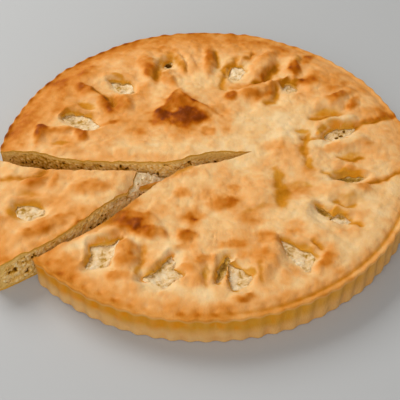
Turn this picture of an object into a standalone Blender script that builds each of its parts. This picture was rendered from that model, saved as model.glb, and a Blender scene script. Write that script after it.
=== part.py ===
"""A round filled flat pie baked in a fluted tin, with one slice cut free and drawn out a little.

The pie lies in the XY plane with its flat bottom at z = 0. Each of its two pieces, the pie and the
slice, is a crust of dough round a filling, so there are four solids: pie_crust, pie_filling,
slice_crust and slice_filling. The crust is open at the knife cuts and at the torn vents on top.
"""
import bpy
import bmesh
import math
import numpy as np

MM = 0.001

# Driving dimensions of the whole pie
PIE_RADIUS = 160 * MM
LIP_HEIGHT = 24.5 * MM
TOP_HEIGHT = 27 * MM
SIDE_DOUGH = 5 * MM
TOP_DOUGH = 3.4 * MM
BOTTOM_DOUGH = 3 * MM
FIT_GAP = 0.35 * MM

# The tin's flutes, pressed into the side of the dough
FLUTES = 84
FLUTE_DEPTH = 0.8 * MM
STEPS_PER_FLUTE = 4
RING_SPACING = 3 * MM

# How far the slice is drawn out of the pie, along the line between its two cuts
SLICE_SHIFT = (-27.4 * MM, -9.4 * MM)

# The knife cuts, in millimetres from the pie's middle: each runs from past the rim to where they meet
CUTS_MEET = (37, 1)
FAR_CUT = [(-190, 9), (-150, 5.5), (-126, 1.5), (-112, -4), (-80, -8), (-30, -9), (-10, -3), (8, 2)]
NEAR_CUT = [(-165, -128), (-117, -103), (-92, -87), (-70, -70), (-50, -48), (-31, -29), (-16, -17), (10, -10)]
SLICE_TIP = (-3, -5)

# Where the slice's top crust is torn away at the tip, all but a strip along the near cut, in millimetres
TORN_OFF = [(-23, 6), (-25, -10), (-27, -18), (-29, -22.5), (-20, -15), (-10, -9), (25, -6), (25, 6)]
TORN_DOWN_TO = 6 * MM
TIP_PRESSED_BY = 14 * MM

# How high the cutters reach past the pie's bottom and top, and the broken surface that they leave
BELOW_PIE = -10 * MM
ABOVE_PIE = 45 * MM
CRUMB_DEPTH = 0.7
CRUMB_LAYERS = 4
CUT_POINT_SPACING = 6

# The dough sinks round each vent, and lies over the filling's swells with folds of its own
VENT_SINK = 1.8
SWELL_SHARE = 0.6
FOLD_SHARE = 0.7

# Shares of the turned forms' faces that are kept
CRUST_FACES_KEPT = 0.13
HOLLOW_FACES_KEPT = 0.2

# Openings torn in the top crust, in millimetres: x, y, length, width, turn in degrees
VENTS = [
    (-70, 84, 21, 10, -50),
    (-100, 42, 27, 11, -27),
    (-31, 112, 15, 6, 75),
    (25, 102, 21, 9, 62),
    (70, 75, 17, 9, 65),
    (105, 23, 24, 11, 22),
    (108, -29, 22, 8, 4),
    (91, -66, 26, 9, -33),
    (63, -105, 31, 12, -58),
    (10, -118, 27, 6, 72),
    (22, -127, 27, 11, 105),
    (-32, -122, 25, 10, 58),
    (-73, -103, 25, 16, -62),
    (-100, -53, 19, 13, -25),
]

# Folds and dips of the top, in millimetres: x, y, length, width, turn in degrees, height
MOUNDS = [
    (-92, 66, 36, 12, -42, 2.2),
    (-68, 66, 26, 9, -75, 1.6),
    (-18, 50, 44, 40, 60, 2.4),
    (-50, -72, 36, 24, -35, 2.6),
    (-14, -87, 18, 12, 80, 1.6),
    (-57, -103, 30, 16, -75, 2.2),
    (-10, -122, 34, 17, 88, 2.0),
    (40, -116, 38, 17, 62, 1.8),
    (78, -84, 30, 18, 140, 1.2),
    (100, -42, 34, 18, 12, 1.4),
    (108, 10, 30, 12, 8, 1.2),
    (108, 36, 26, 12, 5, 1.8),
    (66, 0, 44, 16, 90, 1.0),
    (46, -40, 38, 14, 92, 1.2),
    (88, 92, 40, 16, 55, 1.6),
    (46, 76, 34, 12, 20, 2.0),
    (47, 116, 36, 18, 65, 1.8),
    (4, 116, 40, 10, 88, 2.0),
    (-24, 116, 26, 6, -68, 1.8),
    (-52, 104, 40, 22, 100, 2.0),
    (-96, 96, 44, 22, 40, 1.0),
    (-124, 22, 34, 18, 95, 2.0),
    (-102, 24, 26, 10, -20, 1.6),
    (-110, 4, 34, 14, 0, 2.4),
    (-60, -28, 34, 20, 15, 1.6),
    (-100, -24, 22, 12, 30, 1.8),
]
DIPS = [
    (-117, 12, 16, 10, 0, -1.8),
    (-36, 110, 26, 8, 84, -1.6),
    (-18, 106, 22, 8, 110, -1.8),
    (11, 110, 26, 8, 84, -1.6),
    (52, 98, 34, 13, 62, -2.6),
    (55, 66, 24, 9, 55, -1.6),
    (97, 48, 26, 14, 8, -2.6),
    (84, 18, 22, 7, 0, -1.4),
    (112, -4, 28, 12, -14, -2.6),
    (66, -34, 36, 14, 0, -1.0),
    (78, -10, 40, 8, 92, -1.0),
    (102, -54, 24, 8, -8, -1.6),
    (1, -124, 20, 6, 80, -1.2),
    (-24, -118, 22, 7, 110, -1.4),
    (-46, -112, 24, 8, -80, -1.4),
    (-88, 4, 24, 12, 60, -1.4),
    (-114, -44, 22, 10, 30, -1.6),
]


def oval(x, y, centre_x, centre_y, length, width, turn):
    """1 in the middle of an oval, fading to nothing just past its edge."""
    along, across = math.cos(math.radians(turn)), math.sin(math.radians(turn))
    u = ((x - centre_x) * along + (y - centre_y) * across) / (length / 2)
    v = ((y - centre_y) * along - (x - centre_x) * across) / (width / 2)
    return np.exp(-u * u - v * v)


def smooth_step(value, low, high):
    t = np.clip((value - low) / (high - low), 0, 1)
    return t * t * (3 - 2 * t)


def broad_relief(x, y):
    """The swells of the filling below the dough, in millimetres; x and y are in millimetres too."""
    height = np.zeros_like(x)
    for centre_x, centre_y, length, width, turn in VENTS:
        height -= VENT_SINK * oval(x, y, centre_x, centre_y, length + 12, width + 12, turn)
    for *place, rise in MOUNDS:
        height += SWELL_SHARE * rise * oval(x, y, *place)
    return height


def top_relief(x, y):
    """The folds, blisters and dips of the dough itself, in millimetres."""
    height = broad_relief(x, y)
    for *place, rise in MOUNDS:
        height += FOLD_SHARE * rise * oval(x, y, *place)
    for *place, rise in DIPS:
        height += rise * oval(x, y, *place)
    waves = np.sin(x / 17 + 1.3 * np.sin(y / 29)) * np.sin(y / 14 - 1.1 * np.sin(x / 23))
    return height + 0.35 * waves


def pressed_tip(x, y):
    """How far the knife pressed the slice's tip down, in millimetres: nothing before the torn edge."""
    near_tip = 1 - smooth_step(np.hypot(x, y), 40, 75)
    return -TIP_PRESSED_BY / MM * smooth_step(x - 0.5 * y, -23, -6) * near_tip


def crust_profile():
    """Half of the pie's section, from the top of its axis round the outside to the bottom."""
    lip = PIE_RADIUS
    rings = np.arange(0, 135 * MM, RING_SPACING)
    points = [(radius, TOP_HEIGHT) for radius in rings]
    points += [
        (138 * MM, TOP_HEIGHT - 0.1 * MM),
        (144 * MM, TOP_HEIGHT - 0.4 * MM),
        (149 * MM, TOP_HEIGHT - 0.9 * MM),
        (153 * MM, TOP_HEIGHT - 1.6 * MM),
        (156 * MM, LIP_HEIGHT + 0.2 * MM),
        (157.5 * MM, LIP_HEIGHT - 0.1 * MM),
        (159 * MM, LIP_HEIGHT + 0.5 * MM),
        (lip + 0.2 * MM, LIP_HEIGHT - 0.6 * MM),
        (lip, LIP_HEIGHT - 3 * MM),
        (lip, 14 * MM),
        (lip - 0.2 * MM, 6 * MM),
        (lip - 0.4 * MM, 1.4 * MM),
        (lip - 1.4 * MM, 0),
        (lip - 50 * MM, 0),
        (lip - 110 * MM, 0),
        (0, 0),
    ]
    return points


def hollow_profile():
    """Half of the section of the hollow that the filling sits in."""
    outer = PIE_RADIUS - SIDE_DOUGH
    top = TOP_HEIGHT - TOP_DOUGH
    bottom = BOTTOM_DOUGH
    points = [(radius, top) for radius in np.arange(0, 135 * MM, 2 * RING_SPACING)]
    points += [
        (outer - 16 * MM, top - 0.6 * MM),
        (outer - 9 * MM, top - 2.2 * MM),
        (outer - 4 * MM, top - 5 * MM),
        (outer - 1 * MM, top - 8.5 * MM),
        (outer, 0.5 * (top + bottom)),
        (outer - 1 * MM, bottom + 5 * MM),
        (outer - 3.5 * MM, bottom + 1.6 * MM),
        (outer - 7.5 * MM, bottom),
        (80 * MM, bottom),
        (0, bottom),
    ]
    return points


def turned(name, profile, steps):
    """A mesh of the profile turned once round Z."""
    mesh = bpy.data.meshes.new(name)
    edges = [(i, i + 1) for i in range(len(profile) - 1)]
    mesh.from_pydata([(radius, 0, height) for radius, height in profile], edges, [])
    lathe = bpy.data.objects.new(name, mesh)
    bpy.context.scene.collection.objects.link(lathe)
    screw = lathe.modifiers.new("Turn", "SCREW")
    screw.steps = steps
    screw.render_steps = steps
    screw.use_merge_vertices = True
    screw.merge_threshold = 0.00001
    turned_mesh = evaluated_mesh(lathe, name)
    bpy.data.objects.remove(lathe)
    bpy.data.meshes.remove(mesh)
    return turned_mesh


def evaluated_mesh(obj, name):
    graph = bpy.context.evaluated_depsgraph_get()
    graph.update()
    mesh = bpy.data.meshes.new_from_object(obj.evaluated_get(graph))
    mesh.name = name
    return mesh


def move_points(mesh, rule):
    """Moves a mesh's points to where rule puts them, given and giving millimetres."""
    points = np.empty(len(mesh.vertices) * 3)
    mesh.vertices.foreach_get("co", points)
    points = points.reshape(-1, 3)
    x, y, z = points.T / MM
    moved = np.stack(rule(x, y, z), 1) * MM
    mesh.vertices.foreach_set("co", moved.ravel())
    mesh.update()


def dough_form(pressed):
    """The rule that turns the plain turned pie into the fluted, folded one."""
    def rule(x, y, z):
        radius = np.hypot(x, y)
        angle = np.arctan2(y, x)
        on_top = smooth_step(z, 18, 24)
        inside = 1 - smooth_step(radius, 140, 156)
        lift = top_relief(x, y) * inside
        if pressed:
            lift = lift + pressed_tip(x, y)
        lip = smooth_step(radius, 150, 158) * on_top
        lift = lift + lip * (0.5 * np.sin(3 * angle + 2.2) + 0.35 * np.sin(11 * angle))
        flute = FLUTE_DEPTH / MM * np.cos(FLUTES * angle)
        flute = flute * smooth_step(radius, 152, 158.5) * (1 - 0.35 * on_top)
        grown = (radius + flute) / np.maximum(radius, 1e-6)
        return x * grown, y * grown, z + lift * on_top
    return rule


def hollow_form(pressed):
    """The rule that gives the hollow, and so the filling, the pie's broad swells."""
    def rule(x, y, z):
        radius = np.hypot(x, y)
        on_top = smooth_step(z, 14, 20)
        lift = broad_relief(x, y) * (1 - smooth_step(radius, 130, 150))
        if pressed:
            lift = lift + pressed_tip(x, y)
        return x, y, z + lift * on_top
    return rule


def crust_mesh(name, pressed=False):
    mesh = turned(name, crust_profile(), FLUTES * STEPS_PER_FLUTE)
    move_points(mesh, dough_form(pressed))
    return mesh


def hollow_mesh(name, pressed=False):
    mesh = turned(name, hollow_profile(), FLUTES)
    move_points(mesh, hollow_form(pressed))
    return mesh


def curve_through(points, spacing=CUT_POINT_SPACING):
    """Points about spacing apart on a smooth curve through the given ones."""
    known = np.array(points, float)
    padded = np.vstack([2 * known[0] - known[1], known, 2 * known[-1] - known[-2]])
    found = []
    for before, start, end, after in zip(padded, padded[1:], padded[2:], padded[3:]):
        count = max(1, round(np.linalg.norm(end - start) / spacing))
        for t in np.arange(count) / count:
            bend = 2 * start + (end - before) * t
            bend = bend + (2 * before - 5 * start + 4 * end - after) * t * t
            bend = bend + (3 * start - before - 3 * end + after) * t ** 3
            found.append(bend / 2)
    found.append(known[-1])
    return found


def prism(name, outline, low, high):
    """A closed mesh of a flat outline, given in millimetres, standing from low to high."""
    curve = bpy.data.curves.new(name, "CURVE")
    curve.dimensions = "2D"
    curve.fill_mode = "BOTH"
    curve.extrude = (high - low) / 2
    spline = curve.splines.new("POLY")
    spline.points.add(len(outline) - 1)
    for point, (x, y) in zip(spline.points, outline):
        point.co = (x * MM, y * MM, 0, 1)
    spline.use_cyclic_u = True
    shape = bpy.data.objects.new(name, curve)
    bpy.context.scene.collection.objects.link(shape)
    mesh = evaluated_mesh(shape, name)
    bpy.data.objects.remove(shape)
    bpy.data.curves.remove(curve)
    work = bmesh.new()
    work.from_mesh(mesh)
    bmesh.ops.remove_doubles(work, verts=work.verts, dist=0.00001)
    bmesh.ops.translate(work, verts=work.verts, vec=(0, 0, (high + low) / 2))
    bmesh.ops.recalc_face_normals(work, faces=work.faces)
    work.to_mesh(mesh)
    work.free()
    return mesh


def joined(name, meshes):
    """One mesh of several that lie clear of each other."""
    work = bmesh.new()
    for mesh in meshes:
        work.from_mesh(mesh)
        bpy.data.meshes.remove(mesh)
    mesh = bpy.data.meshes.new(name)
    work.to_mesh(mesh)
    work.free()
    return mesh


def crumbled(mesh):
    """Gives a cutter's upright walls the broken surface of a cut through crumbly filling."""
    work = bmesh.new()
    work.from_mesh(mesh)
    for height in np.linspace(BOTTOM_DOUGH, TOP_HEIGHT - TOP_DOUGH, CRUMB_LAYERS):
        everything = work.verts[:] + work.edges[:] + work.faces[:]
        bmesh.ops.bisect_plane(work, geom=everything, dist=1e-6, plane_co=(0, 0, height), plane_no=(0, 0, 1))
    work.to_mesh(mesh)
    work.free()

    def rule(x, y, z):
        push = CRUMB_DEPTH * np.sin(1.9 * x + 0.8 * z) * np.sin(1.3 * y - 0.9 * z + 0.4)
        return x + push, y - push, z
    move_points(mesh, rule)
    return mesh


def lens(centre_x, centre_y, length, width, turn, corners=5):
    """The outline of an opening torn in dough: two arcs that meet in points."""
    along = np.array([math.cos(math.radians(turn)), math.sin(math.radians(turn))])
    across = np.array([-along[1], along[0]])
    outline = []
    for side in (1, -1):
        for t in np.arange(corners) / corners:
            u = side * (1 - 2 * t) * length / 2
            v = side * width / 2 * math.sin(math.pi * t)
            outline.append(np.array([centre_x, centre_y]) + u * along + v * across)
    return outline


def vent_mesh(name):
    low = (BOTTOM_DOUGH + TOP_HEIGHT) / 2
    return joined(name, [prism(name, lens(*vent), low, ABOVE_PIE) for vent in VENTS])


def notch_mesh(name):
    """What the two knife cuts take out of the pie."""
    far = curve_through(FAR_CUT + [CUTS_MEET])
    near = curve_through(NEAR_CUT + [CUTS_MEET])
    return crumbled(prism(name, far + near[::-1][1:], BELOW_PIE, ABOVE_PIE))


def wedge_mesh(name):
    """The slice's share of the pie, between the same cuts as the notch's, up to the slice's own tip."""
    tip_x, tip_y = SLICE_TIP
    far = [point for point in curve_through(FAR_CUT + [CUTS_MEET]) if point[0] < tip_x - 4]
    near = [point for point in curve_through(NEAR_CUT + [CUTS_MEET]) if point[0] < tip_x - 12]
    return crumbled(prism(name, far + [(tip_x, tip_y)] + near[::-1], BELOW_PIE, ABOVE_PIE))


def torn_mesh(name):
    """What is missing of the slice's top crust at its tip, down into the filling."""
    return prism(name, TORN_OFF, TORN_DOWN_TO, ABOVE_PIE)


def plain_material(name, colour, roughness):
    made = bpy.data.materials.new(name)
    made.use_nodes = True
    shader = made.node_tree.nodes["Principled BSDF"]
    shader.inputs["Base Color"].default_value = (*colour, 1)
    shader.inputs["Roughness"].default_value = roughness
    shader.inputs["Metallic"].default_value = 0
    return made


def add_object(name, mesh, collection, parent):
    added = bpy.data.objects.new(name, mesh)
    collection.objects.link(added)
    added.parent = parent
    return added


def add_cutter(name, mesh, collection, parent):
    cutter = add_object(name, mesh, collection, parent)
    cutter.hide_render = True
    cutter.display_type = "WIRE"
    return cutter


def thin_out(obj, share):
    reducer = obj.modifiers.new("Fewer faces", "DECIMATE")
    reducer.ratio = share
    reducer.use_collapse_triangulate = True


def shrink(obj, gap):
    """Draws a solid's whole surface in by gap, so that it sits clear of the hollow of the same shape."""
    inset = obj.modifiers.new("Clearance", "DISPLACE")
    inset.mid_level = 0
    inset.strength = -gap


def cut(obj, cutter, operation="DIFFERENCE"):
    boolean = obj.modifiers.new(operation.title(), "BOOLEAN")
    boolean.operation = operation
    boolean.solver = "EXACT"
    boolean.object = cutter


def build():
    for old in list(bpy.data.objects):
        bpy.data.objects.remove(old)
    scene = bpy.context.scene.collection
    parts = bpy.data.collections.new("ossetian_pie")
    cutters = bpy.data.collections.new("cutters")
    scene.children.link(parts)
    scene.children.link(cutters)
    dough = plain_material("browned_dough", (0.72, 0.42, 0.16), 0.6)
    cheese = plain_material("cheese_filling", (0.74, 0.65, 0.47), 0.8)

    pie = bpy.data.objects.new("pie_place", None)
    parts.objects.link(pie)
    pie.location = (-SLICE_SHIFT[0] / 2, 0, 0)
    slice_place = bpy.data.objects.new("slice_place", None)
    parts.objects.link(slice_place)
    slice_place.parent = pie
    slice_place.location = (*SLICE_SHIFT, 0)

    for piece, place, pressed in (("pie", pie, False), ("slice", slice_place, True)):
        crust = add_object(f"{piece}_crust", crust_mesh(f"{piece}_crust", pressed), parts, place)
        crust.data.materials.append(dough)
        thin_out(crust, CRUST_FACES_KEPT)
        filling = add_object(f"{piece}_filling", hollow_mesh(f"{piece}_filling", pressed), parts, place)
        filling.data.materials.append(cheese)
        thin_out(filling, HOLLOW_FACES_KEPT)
        shrink(filling, FIT_GAP)
        hollow = add_cutter(f"{piece}_hollow", hollow_mesh(f"{piece}_hollow", pressed), cutters, place)
        thin_out(hollow, HOLLOW_FACES_KEPT)
        vents = add_cutter(f"{piece}_vents", vent_mesh(f"{piece}_vents"), cutters, place)
        cut(crust, hollow)
        cut(crust, vents)
        if piece == "pie":
            notch = add_cutter("notch", notch_mesh("notch"), cutters, place)
            cut(crust, notch)
            cut(filling, notch)
        else:
            wedge = add_cutter("wedge", wedge_mesh("wedge"), cutters, place)
            torn = add_cutter("torn_tip", torn_mesh("torn_tip"), cutters, place)
            cut(crust, torn)
            cut(crust, wedge, "INTERSECT")
            cut(filling, wedge, "INTERSECT")


build()
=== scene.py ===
"""The looks of a round filled cheese pie with one slice cut free and drawn out a little."""
import math

import bmesh
import bpy
import numpy as np
from mathutils import Matrix, Vector


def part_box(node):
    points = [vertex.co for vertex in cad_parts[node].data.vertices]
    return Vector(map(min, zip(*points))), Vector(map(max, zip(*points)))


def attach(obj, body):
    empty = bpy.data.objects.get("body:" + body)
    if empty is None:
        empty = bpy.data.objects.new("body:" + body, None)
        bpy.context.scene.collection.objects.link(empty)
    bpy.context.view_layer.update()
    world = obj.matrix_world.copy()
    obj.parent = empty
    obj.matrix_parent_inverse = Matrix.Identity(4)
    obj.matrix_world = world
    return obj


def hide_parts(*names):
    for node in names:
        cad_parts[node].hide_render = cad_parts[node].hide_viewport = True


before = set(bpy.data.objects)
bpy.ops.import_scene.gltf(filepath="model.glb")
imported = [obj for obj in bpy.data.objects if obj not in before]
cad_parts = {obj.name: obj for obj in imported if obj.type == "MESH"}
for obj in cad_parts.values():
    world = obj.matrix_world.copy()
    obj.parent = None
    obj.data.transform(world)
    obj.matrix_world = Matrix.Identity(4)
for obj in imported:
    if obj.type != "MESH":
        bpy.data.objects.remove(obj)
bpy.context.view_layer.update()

# The pie's dough
# A bread dough rolled thin, folded shut over the filling and baked in a fluted tin, then brushed
# with butter. It is turned from its section, pushed up into folds and blisters, hollowed for the
# filling, torn open at the vents, and cut twice with a knife.
MM = 0.001
FLUTES = 84
FLUTE_DEPTH = 0.7
PIE_RADIUS = 160
LIP_HEIGHT = 24.5
TOP_HEIGHT = 27
SIDE_DOUGH = 5
TOP_DOUGH = 3.4
THINNEST_DOUGH = 1.1
BOTTOM_DOUGH = 3
RING_SPACING = 1.25
FINEST_RING = FLUTES * 8
DOUGH_SHARP_ABOVE = 50

crust_low, crust_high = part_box("pie_crust")
crust_radius = (crust_high.y - crust_low.y) / 2
PIE_PLACE = ((crust_high.x - crust_radius) / MM, (crust_high.y + crust_low.y) / 2 / MM)

# The knife cuts, in millimetres from the pie's middle, from past the rim to where they meet
CUTS_MEET = (37, 1)
FAR_CUT = [(-190, 9), (-150, 5.5), (-126, 1.5), (-112, -4), (-80, -8), (-30, -9), (-10, -3), (8, 2)]
NEAR_CUT = [
    (-165, -128), (-117, -103), (-92, -87), (-70, -70), (-50, -48), (-31, -29), (-16, -17), (10, -10),
]

# The outlines of the openings torn in the top, in millimetres
VENTS = [
    [(-80, 92), (-73, 92), (-65, 90), (-60, 85), (-59, 77), (-65, 76), (-71, 79), (-76, 84)],
    [(-115, 45), (-112, 50), (-105, 51), (-97, 49), (-91, 45), (-87, 39), (-86, 34), (-92, 32),
     (-100, 34), (-108, 39)],
    [(-35, 113), (-33, 118), (-29, 120), (-27, 116), (-28, 111), (-32, 109)],
    [(20, 103), (22, 108), (27, 111), (32, 109), (34, 103), (31, 97), (26, 94), (21, 97)],
    [(64, 84), (70, 86), (76, 83), (77, 78), (72, 76), (66, 79)],
    [(93, 20), (97, 26), (106, 30.5), (118, 30.5), (116, 26), (110, 20), (102, 17), (96, 16.5)],
    [(99, -26), (105, -24), (113, -24), (119, -26), (114, -29), (107, -31), (102, -29)],
    [(80, -56), (84, -56), (90, -62), (91, -66), (87, -66), (82, -61)],
    [(92, -64), (98, -64), (104, -69), (102, -73), (95, -71), (90, -68)],
    [(53, -88), (58, -91), (66, -96), (73, -100), (76, -105), (73, -112), (70, -117), (65, -114),
     (60, -107), (55, -98)],
    [(15, -103), (17, -106), (14, -116), (11, -126), (7, -127), (8, -117), (12, -108)],
    [(16, -110), (20, -112), (26, -117), (31, -122), (29, -128), (24, -133), (18, -134), (16, -127),
     (15, -118)],
    [(-24, -102), (-21, -108), (-22, -114), (-16, -121), (-22, -125), (-27, -131), (-34, -128),
     (-44, -123), (-37, -118), (-30, -110)],
    [(-82, -93), (-76, -92), (-68, -91), (-61, -88), (-63, -97), (-64, -103), (-68, -110), (-76, -113),
     (-83, -113), (-81, -104)],
    [(-112, -43), (-106, -42), (-98, -43), (-92, -47), (-91, -52), (-96, -56), (-104, -57), (-110, -52)],
]

# Puffed parts of the top, in millimetres: x, y, length, width, turn in degrees, height
PUFFS = [
    (-92, 70, 42, 14, -48, 2.8), (-65, 60, 28, 15, -78, 2.8), (-18, 52, 50, 44, 60, 2.6),
    (-22, 66, 26, 16, 85, 1.4), (-50, -71, 36, 24, -28, 2.6), (-36, -83, 20, 12, -10, 1.8),
    (-13, -87, 18, 13, 80, 1.8), (-57, -102, 34, 21, -72, 3.6), (-60, -123, 20, 8, -15, 0.8),
    (-8, -121, 34, 20, 85, 2.4), (42, -110, 44, 19, 65, 2.6), (24, -142, 18, 7, 15, 1.2),
    (78, -84, 34, 20, 140, 1.6), (84, -110, 30, 16, 40, 1.4), (104, -41, 44, 22, 5, 3.0),
    (112, 9, 38, 16, 8, 3.0), (107, 38, 32, 13, 4, 3.0), (104, 61, 36, 18, 8, 3.0),
    (63, 4, 50, 26, 88, 1.6), (84, -2, 44, 12, 92, 1.0), (40, -42, 44, 28, 90, 1.6),
    (70, -50, 40, 22, 90, 1.0), (50, 112, 40, 17, 62, 3.2), (43, 77, 42, 15, 25, 3.2),
    (20, 69, 13, 12, 90, 1.4), (75, 109, 34, 14, 80, 2.4), (93, 92, 40, 20, 55, 1.6),
    (112, 67, 30, 10, 40, 1.6), (120, 57, 20, 9, 55, 1.4), (4, 117, 42, 11, 88, 2.6),
    (-12, 112, 30, 9, 100, 1.4), (-20, 113, 26, 6, 105, 2.2), (-48, 108, 44, 16, 100, 2.8),
    (-31, 93, 30, 12, 112, 2.0), (-98, 98, 42, 20, 40, 1.2), (-130, 24, 24, 12, 95, 2.4),
    (-97, 22, 18, 12, -70, 2.0), (-113, 30, 30, 8, 0, 1.6), (-110, 4, 30, 12, 0, 1.6),
    (-73, -84, 36, 9, 22, 2.0), (-96, -101, 30, 20, -30, 1.2), (-60, -27, 36, 18, 10, 2.2),
    (-101, -22, 24, 14, 20, 2.2), (-84, -22, 12, 22, 0, 0.8), (-90, -67, 44, 16, 33, 2.4),
    (-126, -60, 16, 24, 20, 1.2), (12, -53, 26, 16, 20, 1.4), (26, 104, 5, 18, 20, 1.6),
]

# Hollows between them, given in the same order
DIPS = [
    (-116, 15, 16, 10, 0, -2.0), (-82, 78, 14, 7, -60, -1.2), (-98, 61, 18, 8, -35, -1.4),
    (-22, 102, 26, 6, 110, -1.4), (12, 106, 30, 8, 84, -1.8), (57, 98, 34, 11, 62, -3.0),
    (58, 63, 20, 10, 60, -2.2), (97, 47, 26, 12, 6, -3.0), (115, -4, 28, 12, -10, -3.2),
    (109, -20, 30, 12, -4, -2.6), (70, -35, 28, 12, 0, -1.4), (100, -54, 24, 9, -12, -2.2),
    (0, -124, 22, 6, 80, -1.8), (-45, -110, 26, 8, -80, -2.0), (-100, -34, 20, 10, 10, -1.4),
    (-112, -50, 16, 16, 20, -1.4), (34, 32, 60, 50, 0, -0.5),
]

# Sharper ridges and creases along lines: height, half width, and the points that the line runs through
FOLDS = [
    (1.2, 2.5, [(-105, 84), (-95, 79), (-86, 71), (-79, 60), (-77, 52)]),
    (-1.6, 1.6, [(-92, 77), (-85, 71), (-80, 66)]), (-1.4, 2.5, [(-76, 70), (-74, 58)]),
    (1.2, 2.5, [(-38, 44), (-30, 60), (-21, 76), (-9, 60), (6, 50)]),
    (-1.6, 2.0, [(-42, 92), (-40, 104), (-38, 118)]), (-1.2, 3.0, [(-29, 127), (-35, 112)]),
    (-0.9, 2.0, [(-26, 120), (-20, 110), (-16, 104)]), (-1.2, 1.6, [(15, 104), (21, 112), (30, 117)]),
    (-1.8, 2.4, [(29, 119), (17, 106), (14, 80)]), (-1.8, 2.0, [(9, 128), (10, 108)]),
    (1.0, 2.0, [(32, 116), (35, 98)]), (-1.0, 1.6, [(36, 117), (42, 126)]),
    (-2.0, 2.4, [(43, 86), (54, 92), (62, 112)]), (-1.8, 2.4, [(50, 60), (56, 64), (60, 78)]),
    (-2.8, 2.4, [(86, 40), (96, 38.5), (105, 41.5)]), (-1.8, 1.8, [(76, 17), (86, 15), (92, 17)]),
    (-2.2, 2.0, [(104, -5), (112, -8), (120, -6)]), (-1.6, 1.8, [(88, -22), (98, -26)]),
    (-1.6, 1.8, [(95, -54), (103, -57), (108, -56)]), (-2.0, 1.6, [(104, -70), (111, -76)]),
    (-1.6, 1.6, [(75, -92), (81, -98)]), (-1.0, 1.6, [(37, -113), (38, -128)]),
    (-1.4, 1.6, [(116, 28), (128, 33), (140, 39), (152, 45)]),
    (-1.4, 1.6, [(122, -33), (130, -30), (140, -25), (152, -21)]),
    (-0.6, 2.4, [(73, 25), (79, 23), (80, 16), (78, 6), (76, -3), (78, -12), (80, -19)]),
    (-0.4, 3.4, [(55, -20), (55, -34), (55, -48), (55, -60)]),
    (-1.4, 2.2, [(-124, -18), (-103, -17), (-94, -10)]), (0.8, 2.0, [(-86, -12), (-86, -28)]),
    (-1.2, 1.8, [(-45, -96), (-43, -108), (-47, -120)]), (0.7, 1.6, [(-10, -24), (-2, -18), (2, -28)]),
    (1.2, 1.6, [(95, -63), (102, -66)]), (1.0, 2.0, [(12, -130), (14, -118), (18, -108)]),
]

# Where the dough is torn and rough: x, y, length, width, turn in degrees, height
ROUGH = [
    (-30, -123, 36, 24, 0, 1.5), (22, -132, 20, 14, 0, 0.8), (24, 104, 18, 22, 0, 0.8),
    (92, -66, 28, 12, -30, 0.8), (-72, 78, 20, 10, -40, 0.5),
]

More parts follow.
